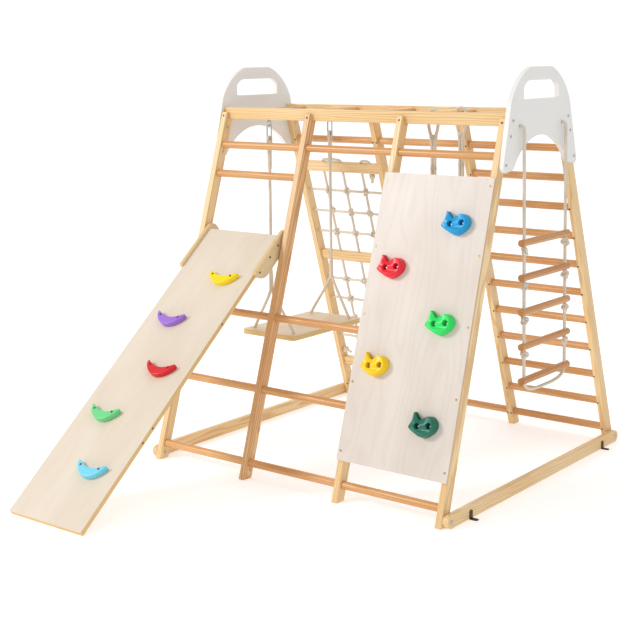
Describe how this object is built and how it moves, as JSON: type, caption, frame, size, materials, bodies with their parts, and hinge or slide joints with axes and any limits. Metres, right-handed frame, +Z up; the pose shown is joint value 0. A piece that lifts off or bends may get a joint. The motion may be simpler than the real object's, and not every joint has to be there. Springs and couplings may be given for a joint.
{
  "type": "toddler climbing frame with slide",
  "caption": "Wooden indoor climbing frame for toddlers with a hook-on slide, climbing board, rope net, swing, overhead bars, gym rings and rope ladder.",
  "frame": {"origin": "on the floor, in the middle of the rectangle of the four floor brackets' holes", "axes": "+Z up, -Y towards the slide and climbing board side, +X towards the rope ladder end"},
  "size_m": [1.224, 1.7643, 1.303],
  "materials": {
    "pine": "clear-lacquered solid pine, satin",
    "beech": "clear-lacquered round beech bar",
    "birch_ply": "clear-lacquered birch plywood",
    "board_ply": "clear-lacquered plywood with a faint grain",
    "white_panel": "smooth white lacquer on board, satin",
    "steel": "zinc-plated steel",
    "dark_screw": "black-oxide screw",
    "net_rope": "braided polyester rope, off-white",
    "rope": "braided rope, off-white",
    "paint_yellow": "coloured lacquer on a wooden crescent step",
    "paint_purple": "coloured lacquer on a wooden crescent step",
    "paint_red": "coloured lacquer on a wooden crescent step",
    "paint_green": "coloured lacquer on a wooden crescent step",
    "paint_cyan": "coloured lacquer on a wooden crescent step",
    "hold_dark_green": "moulded climbing hold",
    "hold_yellow": "moulded climbing hold",
    "hold_green": "moulded climbing hold",
    "hold_red": "moulded climbing hold",
    "hold_blue": "moulded climbing hold"
  },
  "bodies": {
    "frame": {"front_leg_1": "pine", "back_leg_1": "pine", "front_leg_2": "pine", "back_leg_2": "pine", "front_leg_3": "pine", "back_leg_3": "pine", "front_leg_4": "pine", "back_leg_4": "pine", "front_top_beam": "pine", "back_top_beam": "pine", "left_floor_beam": "pine", "right_floor_beam": "pine", "net_top_bar": "pine", "net_middle_bar": "pine", "net_bottom_bar": "pine", "monkey_bars": "beech", "front_rungs_slide_bay": "beech", "front_rungs_middle_bay": "beech", "front_rungs_board_bay": "beech", "back_rungs_net_bay": "beech", "back_rungs_middle_bay": "beech", "back_rungs_ladder_bay": "beech", "left_panel": "white_panel", "right_panel": "white_panel", "floor_brackets": "steel", "frame_bolts": "steel", "swing_eyes": "steel", "hold_bolts": "steel", "frame_screws": "dark_screw", "board_screws": "dark_screw", "net_ropes": "net_rope", "ladder_rope_ends": "rope", "climbing_board": "board_ply", "hold_dark_green": "hold_dark_green", "hold_yellow": "hold_yellow", "hold_green": "hold_green", "hold_red": "hold_red", "hold_blue": "hold_blue"},
    "swing": {"swing_carabiners": "steel", "swing_front_rope": "rope", "swing_back_rope": "rope", "swing_seat": "birch_ply"},
    "swing_front_gate": {"swing_front_gate": "steel"},
    "swing_back_gate": {"swing_back_gate": "steel"},
    "slide": {"slide_board": "birch_ply", "slide_left_cheek": "birch_ply", "slide_right_cheek": "birch_ply", "slide_screws": "dark_screw", "slide_step_yellow": "paint_yellow", "slide_step_purple": "paint_purple", "slide_step_red": "paint_red", "slide_step_green": "paint_green", "slide_step_cyan": "paint_cyan"},
    "ring_front": {"ring_front_strap": "rope", "gym_ring_front": "beech"},
    "ring_back": {"ring_back_strap": "rope", "gym_ring_back": "beech"},
    "rope_ladder": {"ladder_rope": "rope", "ladder_dowels": "beech", "ladder_knots": "rope"}
  },
  "joints": [
    {"name": "slide_lift", "type": "hinge", "parent": "frame", "child": "slide", "pos_m": [-0.37, -0.30964, 0.71816], "axis": [1, 0, 0], "range_deg": [-38, 0]},
    {"name": "swing_pendulum", "type": "hinge", "parent": "frame", "child": "swing", "pos_m": [-0.37, 0, 1.10475], "axis": [0, 1, 0], "range_deg": [-35, 35]},
    {"name": "front_gate_open", "type": "hinge", "parent": "swing", "child": "swing_front_gate", "pos_m": [-0.3605, -0.171, 1.07225], "axis": [0, 1, 0], "range_deg": [-18, 0], "stiffness_Nm_per_rad": 0.03, "springref_deg": 20.05},
    {"name": "back_gate_open", "type": "hinge", "parent": "swing", "child": "swing_back_gate", "pos_m": [-0.3605, 0.171, 1.07225], "axis": [0, 1, 0], "range_deg": [-18, 0], "stiffness_Nm_per_rad": 0.03, "springref_deg": 20.05},
    {"name": "front_ring_swing", "type": "hinge", "parent": "frame", "child": "ring_front", "pos_m": [0.24, -0.084, 1.146], "axis": [0, 1, 0], "range_deg": [-35, 35]},
    {"name": "back_ring_swing", "type": "hinge", "parent": "frame", "child": "ring_back", "pos_m": [0.24, 0.084, 1.146], "axis": [0, 1, 0], "range_deg": [-35, 35]},
    {"name": "ladder_swing", "type": "hinge", "parent": "frame", "child": "rope_ladder", "pos_m": [0.5825, 0, 1.126], "axis": [0, 1, 0], "range_deg": [-40, 0]}
  ]
}
